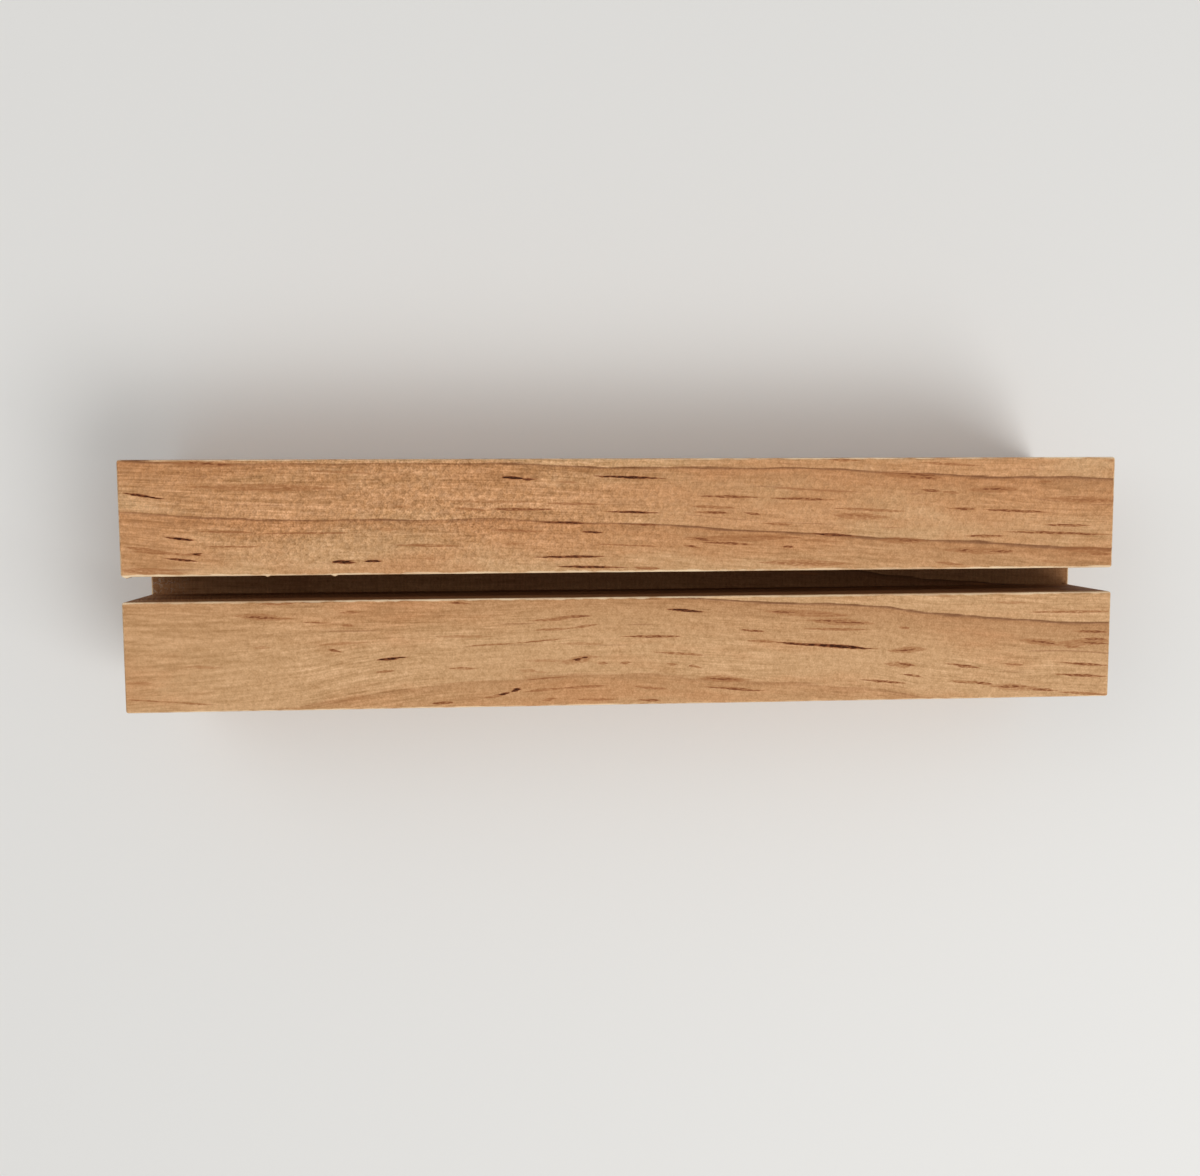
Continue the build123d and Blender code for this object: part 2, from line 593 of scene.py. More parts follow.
    def rings(self, site: Site) -> tuple[Socket, Socket, Socket]:
        """Draws the place back by the sway, and counts the years by its distance from the pith.

        Args:
            site: The place.

        Returns:
            The place in straight grain, how late in its year the wood grew, and the year's last line.
        """
        graph = site.graph
        drift = graph.swing(graph.grey(site.place, *self.drift), self.drift_swing)
        grain_y = graph.minus(site.y, graph.minus(self.sway(site), drift))
        spoke = graph.joined(0.0, graph.minus(grain_y, self.pith_y), graph.minus(site.z, self.pith_z))
        first_year = -self.first_radius / self.ring_spacing
        years = graph.fitted(graph.length(spoke), 1 / self.ring_spacing, first_year)
        for waves in (self.ripple, self.feather):
            years = graph.plus(years, graph.swing(graph.grey(site.place, *waves), self.ring_swing))
        phase = graph.math("FRACT", years)
        closing = graph.ramp(phase, *self.ring_close)
        late = graph.plus(graph.ramp(phase, *self.slow_wood), graph.ramp(phase, *self.late_wood))
        season = graph.times(late, graph.times(closing, graph.ramp(site.y, *self.season_front)))
        patch = graph.ramp(graph.grey(site.place, *self.line_patch), *self.patch_span)
        bold = graph.times(graph.ramp(site.y, *self.line_front), graph.ramp(site.x, *self.line_right))
        drawn = graph.times(graph.ramp(phase, *self.line_rise), closing)
        line = graph.times(drawn, graph.least(graph.times(patch, bold), 1.0))
        return graph.joined(site.x, grain_y, site.z), season, line

    def fibres(self, site: Site, grain: Socket) -> tuple[Socket, Socket, Socket]:
        """Draws the fibres along the grain, and the short cell ends and curls of a sanded face, which in
        the colour are painted sparkle.

        Args:
            site: The place.
            grain: The place in straight grain.

        Returns:
            The fibres and the pebbles, both about 0.5, and the strokes across the grain, about 0.
        """
        graph = site.graph
        long_fibre = graph.grey(grain, *self.long_fibre)
        fine_fibre = graph.grey(grain, *self.fine_fibre)
        streaky = graph.ramp(graph.grey(site.place, *self.drift), *self.streak_span)
        streaky = graph.most(streaky, graph.ramp(site.x, *self.streak_left))
        coarse = graph.ramp(site.y, *self.coarse_rear)
        for span in (self.coarse_right, self.coarse_left):
            coarse = graph.times(coarse, graph.ramp(site.x, *span))
        stringy = graph.times(streaky, graph.fitted(coarse, self.coarse_fibre, 1.0))
        fibre = graph.mix(self.fine_share, long_fibre, fine_fibre)
        fibre = graph.mix(stringy, NOISE_MIDDLE, fibre)

        feeds = {"Vector": site.place, "Rotation": self.pebble_turn}
        turned = graph.add("ShaderNodeVectorRotate", feeds, rotation_type="EULER_XYZ").outputs[0]
        speck = graph.grey(turned, *self.speck)
        grit = graph.grey(turned, *self.grit)
        curly = graph.times(coarse, graph.minus(self.curl_top, streaky))
        pebbly = graph.fitted(curly, self.curl_gain, graph.ramp(site.x, *self.pebble_left))
        pebble = graph.mix(self.fine_share, speck, grit)
        pebble = graph.mix(pebbly, NOISE_MIDDLE, pebble)

        aslant = graph.fitted(site.y, self.stroke_lean, graph.fitted(speck, self.stroke_wander, site.x))
        sanded = graph.grey(graph.joined(aslant, site.y, site.z), *self.stroke)
        keen = graph.fitted(curly, self.curl_gain, graph.ramp(site.y, *self.stroke_rear))
        return fibre, pebble, graph.times(graph.ramp(sanded, *self.stroke_span), keen)

    def canals(self, site: Site, grain: Socket) -> Socket:
        """Draws thin tubes along the grain: dots on an end, and flecks where a face cuts along them.

        Args:
            site: The place.
            grain: The place in straight grain.

        Returns:
            The canals' mask.
        """
        graph = site.graph
        lean = graph.stray(site.place, self.canal_bend, self.canal_reach)
        _, tube_y, tube_z = graph.parts(graph.vector("ADD", grain, lean))
        across = graph.scaled(graph.joined(tube_y, tube_z, 0.0), 1 / self.canal_spacing)
        feeds = {"Vector": across, "Scale": 1.0, "Randomness": 1.0}
        cells = graph.add("ShaderNodeTexVoronoi", feeds, voronoi_dimensions="2D").outputs
        chance, size, _ = graph.parts(cells["Color"])
        reach = graph.fitted(size, *self.canal_size)
        dot = graph.minus(1.0, graph.math("DIVIDE", cells["Distance"], reach))
        return graph.times(graph.ramp(dot, *self.canal_core), graph.ramp(chance, *self.canal_chance))

    def pockets(self, graph: ShaderGraph, grain: Socket) -> Socket:
        """Draws short resin streaks along the grain, each in a cell of its own.

        Args:
            graph: The graph that the nodes go into.
            grain: The place in straight grain.

        Returns:
            The pockets' mask.
        """
        cell = graph.vector("DIVIDE", grain, self.pocket_cell)
        feeds = {"Vector": cell, "Scale": 1.0, "Randomness": 1.0}
        homes = graph.add("ShaderNodeTexVoronoi", feeds).outputs
        stretch = tuple(wide / half for wide, half in zip(self.pocket_cell, self.pocket_half))
        away = graph.vector("MULTIPLY", graph.vector("SUBTRACT", cell, homes["Position"]), stretch)
        heart = graph.ramp(graph.length(away), *self.pocket_core)
        likely, _, _ = graph.parts(homes["Color"])
        return graph.times(heart, graph.ramp(likely, *self.pocket_chance))

    def group(self) -> bpy.types.NodeTree:
        """Builds the figure as a node group.

        Returns:
            The group, which takes Object coordinates and gives values of 0 to 1, and strokes about 0.
        """
        names = ("Season", "Line", "Fibre", "Pebble", "Stroke", "Canal", "Blotch", "Pocket")
        outputs = dict.fromkeys(names, "Float")
        graph, entry, leave = new_group("pine_figure", {"Vector": "Vector"}, outputs)
        site = Site.within(graph, entry["Vector"])
        grain, season, line = self.rings(site)
        fibre, pebble, stroke = self.fibres(site, grain)
        blotch = graph.plus(graph.grey(grain, *self.cloud), graph.ramp(site.y, *self.cloud_rear))
        canal = self.canals(site, grain)
        pocket = self.pockets(graph, grain)
        for name, socket in zip(names, (season, line, fibre, pebble, stroke, canal, blotch, pocket)):
            graph.send(socket, leave[name])
        return graph.tree


@dataclass(frozen=True)
class ResinFlecks:
    """The flecks of the top face, in millimetres: ragged lenses just under the surface."""

    top: float
    below: float = 1.6
    ragged: Waves = (0.5, 3.2, 4.0)
    ragged_reach: Triple = (3.0, 0.26, 0.0)
    broken: Waves = (1.1, 4.0)
    broken_span: Ramp = (0.3, 0.62, 0.6, 1.1)

    def group(self) -> bpy.types.NodeTree:
        """Builds the flecks as a node group.

        Returns:
            The group, which takes Object coordinates and gives a mask.
        """
        graph, entry, leave = new_group("resin_flecks", {"Vector": "Vector"}, {"Mask": "Float"})
        place = graph.scaled(entry["Vector"], 1 / MM)
        ragged = graph.stray(place, self.ragged, self.ragged_reach)
        x, y, z = graph.parts(graph.vector("ADD", place, ragged))
        gap: Feed = 1.0
        for depth, streaks in FLECKS.items():
            for streak in streaks:
                gap = graph.least(Fleck(depth, *streak).lens(graph, x, y), gap)
        broken = graph.ramp(graph.grey(place, *self.broken), *self.broken_span)
        mask = graph.times(graph.minus(1.0, gap), broken)
        shallow = graph.ramp(z, self.top - self.below, self.top - self.below / 2)
        graph.send(graph.times(mask, shallow), leave["Mask"])
        return graph.tree


@dataclass(frozen=True)
class ArrisWearAndHighlight:
    """Pale rubbed wood and a painted highlight along every edge of the block and along the slot's rims.
    """

    shape: BlockShape
    outer_scale: float = 1.5
    uneven: Waves = (0.35, 0.8, 3.0)
    uneven_span: Ramp = (0.3, 0.7, 0.6, 1.3)
    patchy: Waves = (0.04, 0.11)
    patchy_span: Ramp = (0.38, 0.58, 0.4, 1.0)
    edge_fade: Ramp = (0.4, 1.0, 1.0, 0.0)

    def group(self) -> bpy.types.NodeTree:
        """Builds the wear and the painted highlight as a node group.

        Returns:
            The group, which takes Object coordinates and a width in millimetres and gives a mask.
        """
        inputs = {"Vector": "Vector", "Width": "Float"}
        graph, entry, leave = new_group("arris_wear", inputs, {"Mask": "Float"})
        shape = self.shape
        middle = (shape.low + shape.high) / 2
        half = (shape.high - shape.low) / 2
        centred = graph.vector("ABSOLUTE", graph.vector("SUBTRACT", entry["Vector"], tuple(middle)))
        in_x, in_y, in_z = graph.parts(graph.vector("SUBTRACT", tuple(half), centred))
        _, y, z = graph.parts(entry["Vector"])

        # A box edge is where the second smallest of the three ways out of the block is short
        edge = graph.most(graph.least(in_x, in_y), graph.least(graph.most(in_x, in_y), in_z))

        # A rim is where a slot wall meets the top face or an end face
        to_wall = graph.least(graph.apart(y, shape.slot_front), graph.apart(y, shape.slot_rear))
        rim = graph.most(to_wall, graph.minus(shape.high.z, z))
        under = graph.minus(shape.slot_floor, z)
        mouth = graph.most(to_wall, in_x, under)
        to_middle = graph.apart(y, (shape.slot_front + shape.slot_rear) / 2)
        beside = graph.minus(to_middle, (shape.slot_rear - shape.slot_front) / 2)
        brink = graph.most(in_x, beside, graph.math("ABSOLUTE", under))
        nearest = graph.least(graph.times(edge, self.outer_scale), rim, mouth, brink)

        place = graph.scaled(entry["Vector"], 1 / MM)
        uneven = graph.ramp(graph.grey(place, *self.uneven), *self.uneven_span)
        reach = graph.times(entry["Width"], uneven)
        share = graph.math("DIVIDE", graph.times(nearest, 1 / MM), reach)
        patchy = graph.ramp(graph.grey(place, *self.patchy), *self.patchy_span)
        graph.send(graph.times(graph.ramp(share, *self.edge_fade), patchy), leave["Mask"])
        return graph.tree


@dataclass(frozen=True)
class SawMarks:
    """The arcs that a circular blade leaves as it is fed along a cut, in millimetres."""

    blade_radius: float = 95.0
    pitch: float = 0.85
    stray_scale: float = 0.45
    stray_detail: float = 2.0
    stray_turns: float = 2.2

    def group(self) -> bpy.types.NodeTree:
        """Builds the marks as a node group.

        Returns:
            The group, which takes the way along the feed and up the cut and gives a ridge of 0 to 1.
        """
        inputs = {"Along": "Float", "Up": "Float"}
        graph, entry, leave = new_group("saw_marks", inputs, {"Ridge": "Float"})
        rise = graph.times(entry["Up"], 1 / self.blade_radius)
        bow = graph.math("SQRT", graph.minus(1.0, graph.times(rise, rise)))
        arc = graph.fitted(bow, self.blade_radius, entry["Along"])
        feeds = {"W": arc, "Scale": self.stray_scale, "Detail": self.stray_detail}
        stray = graph.add("ShaderNodeTexNoise", feeds, noise_dimensions="1D").outputs["Fac"]
        turns = graph.fitted(stray, self.stray_turns, graph.times(arc, 1 / self.pitch))
        wave = graph.math("SINE", graph.times(turns, 2 * math.pi))
        graph.send(graph.fitted(wave, 0.5, 0.5), leave["Ridge"])
        return graph.tree


@dataclass(frozen=True)
class SawFuzz:
    """The curled grey fibres on the slot's floor, in millimetres from its left end."""

    shape: BlockShape
    near: float = 1.0
    far: float = 9.0
    lift: float = 0.3
    tangle: Waves = (1.5, 1.9, 1.0)
    fibre_span: Ramp = (0.012, 0.05, 1.0, 0.0)
    clump: Waves = (1.2, 0.9, 1.0)
    clump_span: Ramp = (0.44, 0.58, 0.1, 1.0)

    def group(self) -> bpy.types.NodeTree:
        """Builds the fuzz as a node group.

        Returns:
            The group, which takes Object coordinates and gives a mask.
        """
        graph, entry, leave = new_group("saw_fuzz", {"Vector": "Vector"}, {"Mask": "Float"})
        site = Site.within(graph, entry["Vector"])
        tangle = graph.grey(site.place, *self.tangle)
        fibre = graph.ramp(graph.apart(tangle, NOISE_MIDDLE), *self.fibre_span)
        clump = graph.ramp(graph.grey(site.place, *self.clump), *self.clump_span)
        left = self.shape.low.x / MM
        floor = self.shape.slot_floor / MM
        close = graph.ramp(site.x, left + self.near, left + self.far, 1.0, 0.0)
        lying = graph.ramp(site.z, floor, floor + self.lift, 1.0, 0.0)
        graph.send(graph.times(graph.times(fibre, clump), graph.times(close, lying)), leave["Mask"])
        return graph.tree


@dataclass(frozen=True)
class PineTone:
    """The colours and the touch of one cut of the wood.

    The width of the worn arris, which is pale from wear and from a painted highlight, is in millimetres,
    and the height of the relief in metres.
    """

    early: Colour
    middle: Colour
    late: Colour
    line: Colour
    warm: Colour
    canal: Colour
    arris: Colour
    arris_width: float
    canal_share: float
    roughness: float
    relief: float
    ridge: float


# Each cut's arris colour is pale partly from rubbed wear and partly as a painted highlight on the edges
PINE_TONES: dict[Cut, PineTone] = {
    Cut.PLANED: PineTone(
        early=shade(200, 157, 113), middle=shade(193, 148, 104), late=shade(180, 131, 88),
        line=shade(96, 54, 30), warm=shade(190, 130, 84), canal=shade(136, 84, 52),
        arris=shade(242, 217, 180), arris_width=0.42, canal_share=0.4,
        roughness=0.6, relief=0.05 * MM, ridge=0.0,
    ),
    Cut.END_GRAIN: PineTone(
        early=shade(190, 148, 102), middle=shade(174, 128, 84), late=shade(138, 90, 54),
        line=shade(104, 64, 38), warm=shade(172, 116, 72), canal=shade(92, 56, 34),
        arris=shade(214, 180, 136), arris_width=0.42, canal_share=0.7,
        roughness=0.7, relief=0.07 * MM, ridge=0.35,
    ),
    # The sawn tones, used only inside the slot, are darker than the planed ones as painted shade for the
    # slot's deep, narrow recess
    Cut.SAWN: PineTone(
        early=shade(158, 114, 76), middle=shade(144, 100, 64), late=shade(120, 78, 48),
        line=shade(90, 56, 34), warm=shade(136, 88, 56), canal=shade(86, 52, 32),
        arris=shade(216, 184, 142), arris_width=0.35, canal_share=0.6,
        roughness=0.74, relief=0.08 * MM, ridge=0.5,
    ),
}


class PineFinish:
    """The block's wood: one figure that runs through it, seen on three kinds of cut."""

    # How the figure, the saw's ridges, the wear and the painted shade, sparkle and highlight show in the
    # colour, the height and the roughness
    early_to_middle: Ramp = (0.0, 0.55)
    middle_to_late: Ramp = (0.45, 1.0)
    warm_patch: Ramp = (0.42, 0.7, 0.0, 0.5)
    fibre_gain: Fit = (1.3, 0.33)
    pebble_painted_sparkle: Fit = (1.1, 0.45)
    green_power: float = 1.2
    blue_power: float = 1.6
    stroke_painted_sparkle: float = 0.1
    line_share: float = 0.72
    ridge_shade_and_highlight: Ramp = (0.0, 1.0, 0.95, 1.03)
    wear_and_highlight_share: float = 0.9
    fibre_height: float = 0.6
    pebble_height: float = 0.5
    canal_height: float = -0.5
    late_dulling: float = -0.08
    resin_dulling: float = 0.2
    fibre_dulling: float = 0.25
    bump: float = 0.6
    shine: float = 0.1

    # Resin, with its depths in millimetres below the top face, and the fuzz in the slot
    fleck_amber: Colour = shade(158, 102, 60)
    fleck_brown: Colour = shade(116, 64, 36)
    fleck_dark: Colour = shade(58, 27, 10)
    amber_to_brown: Ramp = (0.3, 0.65)
    brown_to_dark: Ramp = (0.62, 0.95)
    fleck_edge: Ramp = (0.0, 0.6)
    pocket_deep: float = 1.0
    pocket_shallow: float = 0.4
    planed_pocket: float = 0.9
    sawn_pocket: float = 0.8
    fuzz_grey: Colour = shade(168, 154, 138)
    fuzz_share: float = 0.7

    def __init__(self, shape: BlockShape) -> None:
        """Builds the groups that the three materials share."""
        self.top = shape.high.z / MM
        self.figure = PineFigure(shape.high.x / MM).group()
        self.flecks = ResinFlecks(self.top).group()
        self.wear_and_highlight = ArrisWearAndHighlight(shape).group()
        self.marks = SawMarks().group()
        self.fuzz = SawFuzz(shape).group()

    def wood(self, graph: ShaderGraph, figure: dict[str, Socket], tone: PineTone) -> Socket:
        """Colours the year's wood, the tree's slow changes of tone, then fibres with painted sparkle,
        lines and canals.

        Args:
            graph: The material's graph.
            figure: The outputs of the figure's group.
            tone: The colours of the cut.

        Returns:
            The colour of the wood without its resin.
        """
        season = figure["Season"]
        colour = graph.blend(graph.ramp(season, *self.early_to_middle), tone.early, tone.middle)
        colour = graph.blend(graph.ramp(season, *self.middle_to_late), colour, tone.late)
        colour = graph.blend(graph.ramp(figure["Blotch"], *self.warm_patch), colour, tone.warm)
        gain = graph.fitted(figure["Fibre"], *self.fibre_gain)
        # The pebbles here and the strokes below put painted sparkle of the sanded face into the colour;
        # the pebbles' bump is real relief
        gain = graph.times(gain, graph.fitted(figure["Pebble"], *self.pebble_painted_sparkle))
        green = graph.math("POWER", gain, self.green_power)
        blue = graph.math("POWER", gain, self.blue_power)
        colour = graph.vector("MULTIPLY", colour, graph.joined(gain, green, blue))
        colour = graph.scaled(colour, graph.fitted(figure["Stroke"], self.stroke_painted_sparkle, 1.0))
        colour = graph.blend(graph.times(figure["Line"], self.line_share), colour, tone.line)
        return graph.blend(graph.times(figure["Canal"], tone.canal_share), colour, tone.canal)

    def resin(self, graph: ShaderGraph, mask: Socket, colour: Socket) -> Socket:
        """Lays resin on the wood, amber where it is thin and dark where it is thick.

        Args:
            graph: The material's graph.
            mask: How thick the resin is, 0 to 1.
            colour: The wood below it.

        Returns:
            The colour of both.
        """
        resin = graph.blend(graph.ramp(mask, *self.amber_to_brown), self.fleck_amber, self.fleck_brown)
        resin = graph.blend(graph.ramp(mask, *self.brown_to_dark), resin, self.fleck_dark)
        return graph.blend(graph.ramp(mask, *self.fleck_edge), colour, resin)

    def material(self, cut: Cut) -> bpy.types.Material:
        """Makes the material of one cut.

        Args:
            cut: How the face was cut.

        Returns:
            The new material.
        """
        tone = PINE_TONES[cut]
        material, graph, shader = new_material(cut.value)
        place = graph.add("ShaderNodeTexCoord", {}).outputs["Object"]
        group = graph.add("ShaderNodeGroup", {"Vector": place}, node_tree=self.figure)
        figure = dict(group.outputs.items())
        colour = self.wood(graph, figure, tone)
        height = graph.times(figure["Pebble"], self.pebble_height)
        height = graph.fitted(figure["Fibre"], self.fibre_height, height)
        height = graph.fitted(figure["Canal"], self.canal_height, height)

        # The flecks show on top, the pockets elsewhere, and the blade's arcs in the slot and on the ends
        x, y, z = graph.parts(graph.scaled(place, 1 / MM))
        if cut is Cut.PLANED:
            flecks = graph.add("ShaderNodeGroup", {"Vector": place}, node_tree=self.flecks)
            deep = self.top - self.pocket_deep
            shallow = self.top - self.pocket_shallow
            hidden = graph.ramp(z, deep, shallow, self.planed_pocket, 0.0)
            mask = graph.most(flecks.outputs["Mask"], graph.times(figure["Pocket"], hidden))
        else:
            ways = {"Along": x if cut is Cut.SAWN else y, "Up": z}
            ridge = graph.add("ShaderNodeGroup", ways, node_tree=self.marks).outputs["Ridge"]
            height = graph.fitted(ridge, tone.ridge, height)
            # Painted shade in the hollows of the saw's arcs and a painted highlight on their crests; the
            # arcs' bump above is real relief
            colour = graph.scaled(colour, graph.ramp(ridge, *self.ridge_shade_and_highlight))
            mask = graph.times(figure["Pocket"], self.sawn_pocket)
        colour = self.resin(graph, mask, colour)

        # The pale arris is partly rubbed wood and partly a painted highlight where the edges catch the
        # light
        feeds = {"Vector": place, "Width": tone.arris_width}
        wear_and_highlight = graph.add("ShaderNodeGroup", feeds, node_tree=self.wear_and_highlight).outputs["Mask"]
        colour = graph.blend(graph.times(wear_and_highlight, self.wear_and_highlight_share), colour, tone.arris)
        if cut is Cut.SAWN:
            fuzz = graph.add("ShaderNodeGroup", {"Vector": place}, node_tree=self.fuzz).outputs["Mask"]
            colour = graph.blend(graph.times(fuzz, self.fuzz_share), colour, self.fuzz_grey)
        graph.send(colour, shader.inputs["Base Color"])

        dull = graph.fitted(figure["Season"], self.late_dulling, tone.roughness)
        dull = graph.fitted(mask, self.resin_dulling, dull)
        dull = graph.fitted(graph.minus(figure["Fibre"], NOISE_MIDDLE), self.fibre_dulling, dull)
        graph.send(dull, shader.inputs["Roughness"])
        shader.inputs["Specular IOR Level"].default_value = self.shine
        feeds = {"Height": height, "Strength": self.bump, "Distance": tone.relief}
        graph.send(graph.add("ShaderNodeBump", feeds).outputs["Normal"], shader.inputs["Normal"])
        return material


@dataclass(frozen=True)
class FeltFinish:
    """Pressed wool felt: matted fibres, a little fuzz and uneven dye."""

    dark: Colour = shade(88, 76, 68)
    light: Colour = shade(128, 114, 103)
    roughness: float = 0.95
    sheen: float = 0.35
    curl: Waves = (1.1, 1.1, 1.0)
    curl_reach: float = 1.4
    lays: tuple[Triple, ...] = ((2.2, 9.0, 5.0), (9.0, 2.2, 5.0))
    strand: Waves = (1.0, 1.0, 3.0)
    strand_span: Ramp = (0.42, 0.72)
    dye: Waves = (0.5, 0.5)
    dye_span: Ramp = (0.3, 0.7, 0.85, 1.1)
    bump: float = 0.8
    relief: float = 0.15 * MM

    def material(self) -> bpy.types.Material:
        """Makes the felt's material.

        Returns:
            The new material.
        """
        material, graph, shader = new_material("pressed_felt")
        place = graph.scaled(graph.add("ShaderNodeTexCoord", {}).outputs["Object"], 1 / MM)
        turned = graph.noise(place, *self.curl).outputs["Color"]
        matted = graph.vector("ADD", place, graph.scaled(turned, self.curl_reach))
        laid = [graph.vector("MULTIPLY", matted, lay) for lay in self.lays]
        strand = graph.most(*(graph.grey(way, *self.strand) for way in laid))
        tone = graph.blend(graph.ramp(strand, *self.strand_span), self.dark, self.light)
        dye = graph.ramp(graph.grey(place, *self.dye), *self.dye_span)
        graph.send(graph.scaled(tone, dye), shader.inputs["Base Color"])
        feeds = {"Height": strand, "Strength": self.bump, "Distance": self.relief}
        graph.send(graph.add("ShaderNodeBump", feeds).outputs["Normal"], shader.inputs["Normal"])
        shader.inputs["Roughness"].default_value = self.roughness
        shader.inputs["Sheen Weight"].default_value = self.sheen
        return material


def new_piece(
    name: str, mesh: bmesh.types.BMesh, materials: list[bpy.types.Material]
) -> bpy.types.Object:
    """Makes an object at the origin out of a finished bmesh.

    Args:
        name: The piece's name.
        mesh: Its shape, which is freed.
        materials: Its materials, in the order that its faces count them.

    Returns:
        The new object, in the scene.
    """
    data = bpy.data.meshes.new(name)
    mesh.to_mesh(data)
    mesh.free()
    for material in materials:
        data.materials.append(material)
    piece = bpy.data.objects.new(name, data)
    bpy.context.scene.collection.objects.link(piece)
    return piece


def round_off(
    mesh: bmesh.types.BMesh, edges: list[bmesh.types.BMEdge], radius: float, steps: int
) -> None:
    """Rounds some edges of a shape.

    Args:
        mesh: The shape, which is changed.
        edges: The edges.
        radius: How far from an edge the rounding starts, in metres.
        steps: How many faces it has.
    """
    bmesh.ops.bevel(
        mesh, geom=edges, offset=radius, offset_type="OFFSET", segments=steps,
        profile=0.5, affect="EDGES", material=-1, clamp_overlap=True,
    )


def raise_faces(mesh: bmesh.types.BMesh, faces: list[bmesh.types.BMFace], way: Triple) -> None:
    """Draws some faces out into a solid.

    Args:
        mesh: The shape, which is changed.
        faces: The faces.
        way: Where they go, in metres.
    """
    grown = bmesh.ops.extrude_face_region(mesh, geom=faces)["geom"]
    moved = [item for item in grown if isinstance(item, bmesh.types.BMVert)]
    bmesh.ops.translate(mesh, verts=moved, vec=way)
    bmesh.ops.recalc_face_normals(mesh, faces=mesh.faces)


@dataclass(frozen=True)
class Burr:
    """A sliver of torn fibres that stands into the slot from its rear rim, in metres."""

    x: float
    length: float
    stand: float


@dataclass
class SlottedBlock:
    """The pine block with the saw-cut slot that a print stands in."""

    shape: BlockShape
    arris: float = 0.4 * MM
    arris_steps: int = 3
    arris_slack: float = 1.01
    arris_play: float = 0.45
    arris_wave: float = 7.0 * MM
    wave_apart: float = 5.3
    wave_level: float = 0.5
    end_fade: float = 4.0 * MM
    end_turn: float = 0.7
    flat_turn: float = 0.999
    station: float = 1.0 * MM
    burr_stations: tuple[float, ...] = (-1.0, -0.5, 0.0, 0.5, 1.0)
    burrs: tuple[Burr, ...] = (
        Burr(-83.6 * MM, 0.7 * MM, 0.26 * MM),
        Burr(-60.7 * MM, 0.5 * MM, 0.22 * MM),
        Burr(-49.7 * MM, 0.6 * MM, 0.26 * MM),
    )

    def outline(self) -> list[Pair]:
        """Draws the block's section round the U.

        Returns:
            Its corners, as (y, z).
        """
        shape = self.shape
        return [
            (shape.low.y, shape.low.z), (shape.high.y, shape.low.z),
            (shape.high.y, shape.high.z), (shape.slot_rear, shape.high.z),
            (shape.slot_rear, shape.slot_floor), (shape.slot_front, shape.slot_floor),
            (shape.slot_front, shape.high.z), (shape.low.y, shape.high.z),
        ]

    def stations(self) -> list[float]:
        """Divides the block's long faces, more closely at the burrs.

        Returns:
            The places along the block where they are cut.
        """
        first = self.shape.low.x + self.arris
        run = self.shape.high.x - self.arris - first
        count = round(run / self.station)
        even = [first + run * step / count for step in range(1, count)]
        close = [burr.x + burr.length * share for burr in self.burrs for share in self.burr_stations]
        return even + close

    def solid(self) -> bmesh.types.BMesh:
        """Draws the section, runs it along the block and eases its outer edges.

        Returns:
            The block, with its long faces divided into stations.
        """
        mesh = bmesh.new()
        corners = [mesh.verts.new((self.shape.low.x, y, z)) for y, z in self.outline()]
        section = mesh.faces.new(corners)
        raise_faces(mesh, [section], (self.shape.high.x - self.shape.low.x, 0, 0))
        arrises = [edge for edge in mesh.edges if edge.is_convex]
        round_off(mesh, arrises, self.arris, self.arris_steps)
        for x in self.stations():
            geom = mesh.verts[:] + mesh.edges[:] + mesh.faces[:]
            bmesh.ops.bisect_plane(mesh, geom=geom, dist=TOUCH, plane_co=(x, 0, 0), plane_no=(1, 0, 0))
        return mesh

    def ease(self, mesh: bmesh.types.BMesh) -> None:
        """Makes the sanded arrises uneven and draws the burrs out of the slot's rear rim.

        Args:
            mesh: The block's shape, which is changed.
        """
        shape = self.shape
        edges = [(y, z) for y, z in self.outline() if z != shape.slot_floor]
        for vert in mesh.verts:
            inside = min(vert.co.x - shape.low.x, shape.high.x - vert.co.x) - self.arris
            fade = max(0.0, min(1.0, inside / self.end_fade))
            for number, (y, z) in enumerate(edges):
                off_y = vert.co.y - y
                off_z = vert.co.z - z
                if max(abs(off_y), abs(off_z)) > self.arris * self.arris_slack:
                    continue
                along = vert.co.x / self.arris_wave
                wave = noise.noise((along, number * self.wave_apart, self.wave_level))
                growth = 1 + self.arris_play * wave * fade
                vert.co.y = y + off_y * growth
                vert.co.z = z + off_z * growth
                if (y, z) == (shape.slot_rear, shape.high.z):
                    vert.co.y -= self.stand_at(vert.co.x)

    def stand_at(self, x: float) -> float:
        """Gives how far the burrs stand out at a place along the rim."""
        return max(max(0.0, 1 - abs(x - burr.x) / burr.length) * burr.stand for burr in self.burrs)

    def dress(self, mesh: bmesh.types.BMesh) -> None:
        """Gives each face the material of its cut, and smooth shading only on the eased arrises.

        Args:
            mesh: The block's shape, which is changed.
        """
        shape = self.shape
        cuts = list(Cut)
        for face in mesh.faces:
            centre = face.calc_center_median()
            between = shape.slot_front - MM < centre.y < shape.slot_rear + MM
            level = shape.slot_floor - MM < centre.z < shape.high.z - self.arris
            cut = Cut.PLANED
            if abs(face.normal.x) > self.end_turn:
                cut = Cut.END_GRAIN
            elif between and level:
                cut = Cut.SAWN
            face.material_index = cuts.index(cut)
            face.smooth = max(abs(part) for part in face.normal) < self.flat_turn

    def build(self, finish: PineFinish) -> bpy.types.Object:
        """Makes the block's piece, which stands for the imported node.

        Args:
            finish: The wood.

        Returns:
            The finished piece.
        """
        mesh = self.solid()
        self.ease(mesh)
        mesh.normal_update()
        self.dress(mesh)
        piece = new_piece("pine_block", mesh, [finish.material(cut) for cut in Cut])
        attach(piece, BODY)
        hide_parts("slotted_block")
        return piece


